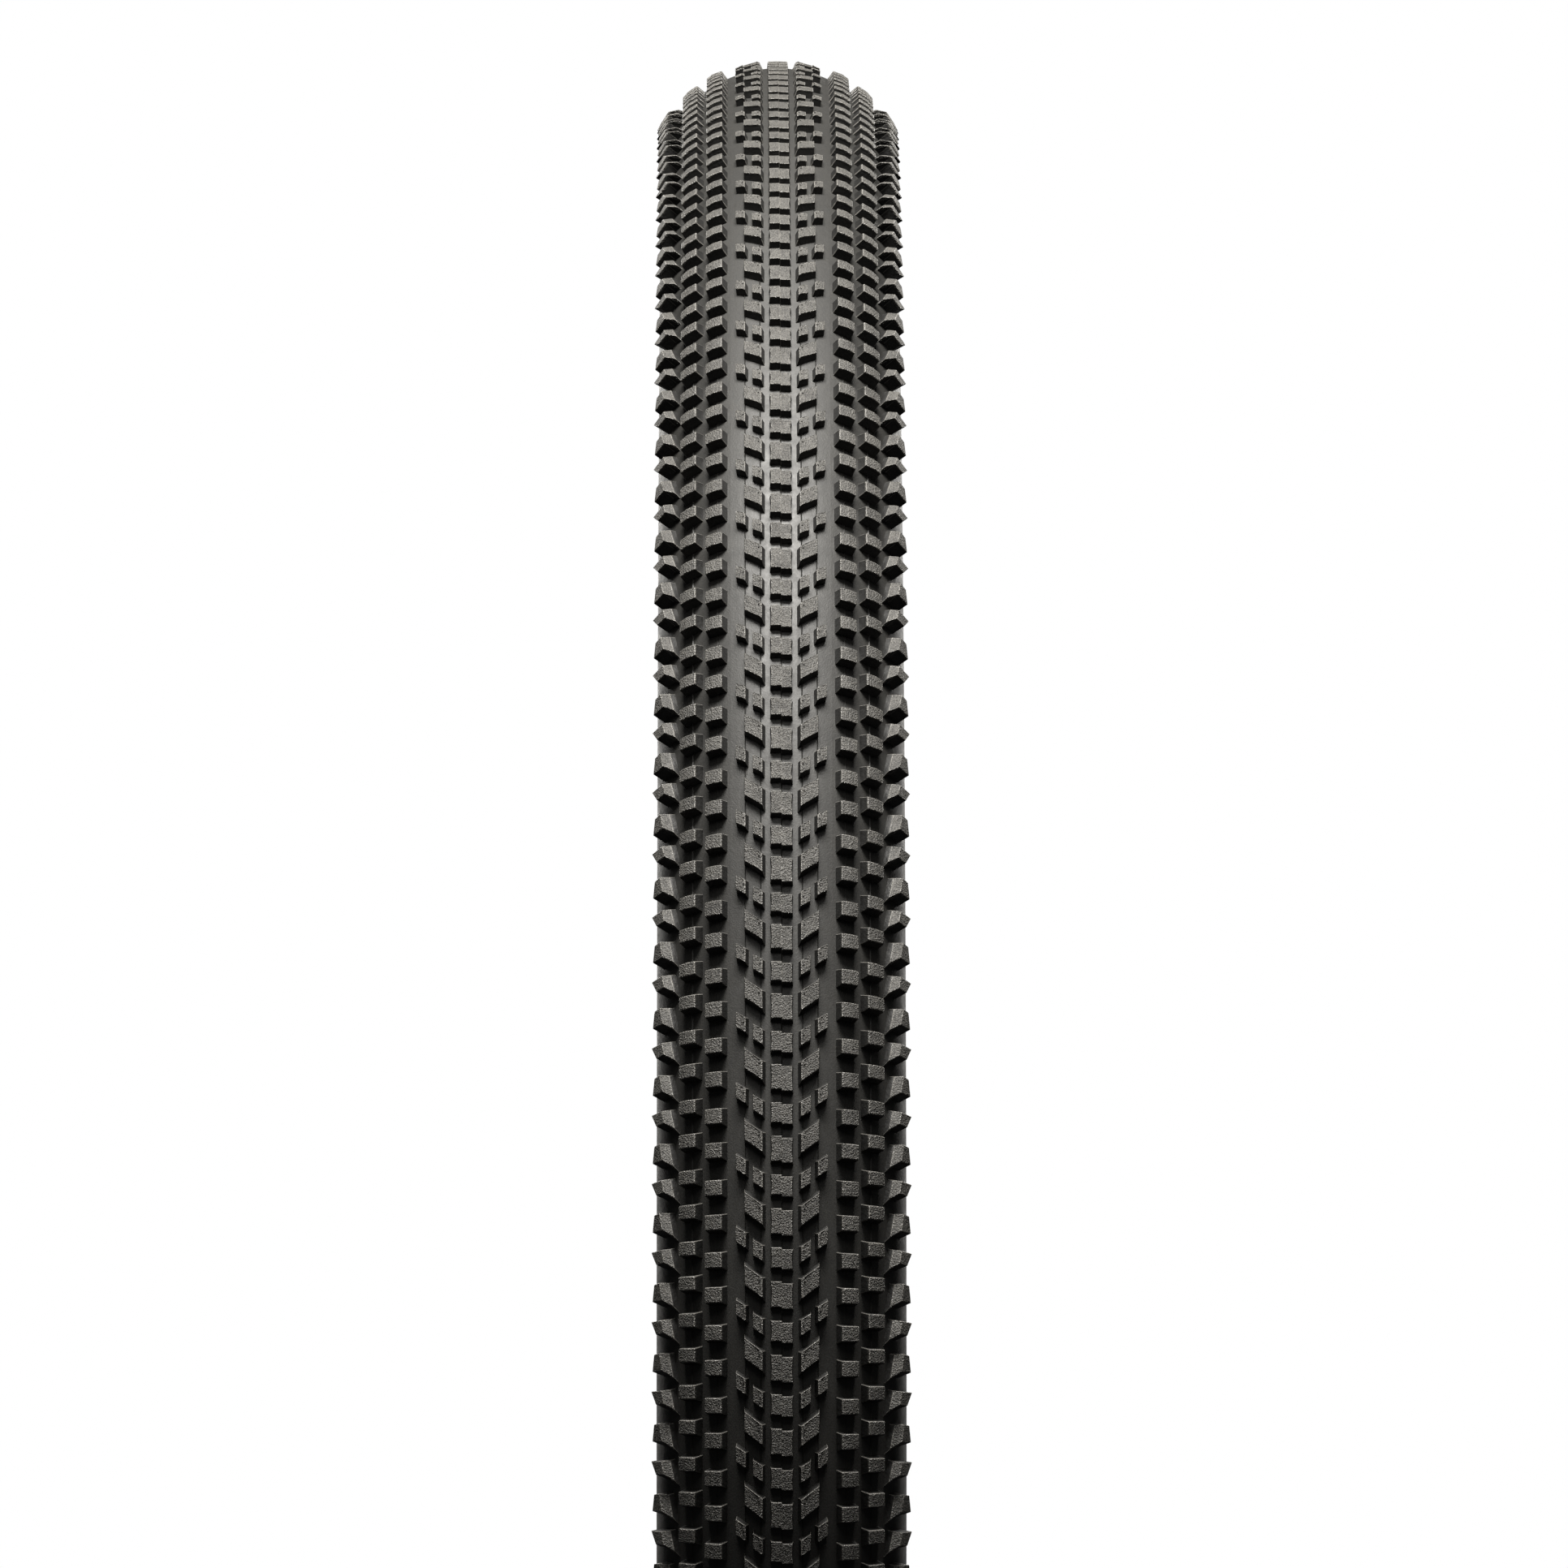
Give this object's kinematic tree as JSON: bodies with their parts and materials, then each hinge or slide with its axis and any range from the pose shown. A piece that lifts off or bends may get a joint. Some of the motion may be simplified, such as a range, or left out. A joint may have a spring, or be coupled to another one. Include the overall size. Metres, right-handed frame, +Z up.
{
  "type": "bicycle tyre",
  "caption": "Knobbly off-road bicycle tyre for a 584 mm bead seat, with a wire bead each side, a layered casing and an open well for rim and tube.",
  "frame": {"origin": "wheel centre: on the axis, midway between the beads", "axes": "+Y along the wheel axis, towards the right bead; +Z up, with a long centre lug on +X"},
  "size_m": [0.7159, 0.0662, 0.7158],
  "materials": {
    "tread_rubber": "matte, fine sand grain on the knob tops",
    "sidewall_rubber": "satin, smooth moulded skin",
    "rim_strip_rubber": "matte, woven fabric under rubber",
    "base_rubber": "matte",
    "belt_fabric": "woven",
    "casing_fabric": "rubberised cord fabric",
    "liner_rubber": "smooth, dull",
    "bead_wire": "bronze-plated wire"
  },
  "bodies": {
    "root": {"tread_centre": "tread_rubber", "tread_shoulder_left": "tread_rubber", "tread_shoulder_right": "tread_rubber", "under_tread": "base_rubber", "puncture_belt": "belt_fabric", "casing_ply_outer": "casing_fabric", "casing_ply_inner": "casing_fabric", "inner_liner": "liner_rubber", "sidewall_left": "sidewall_rubber", "sidewall_right": "sidewall_rubber", "rim_strip_left": "rim_strip_rubber", "rim_strip_right": "rim_strip_rubber", "bead_core_left": "bead_wire", "bead_core_right": "bead_wire", "bead_filler_left": "base_rubber", "bead_filler_right": "base_rubber"}
  },
  "joints": []
}
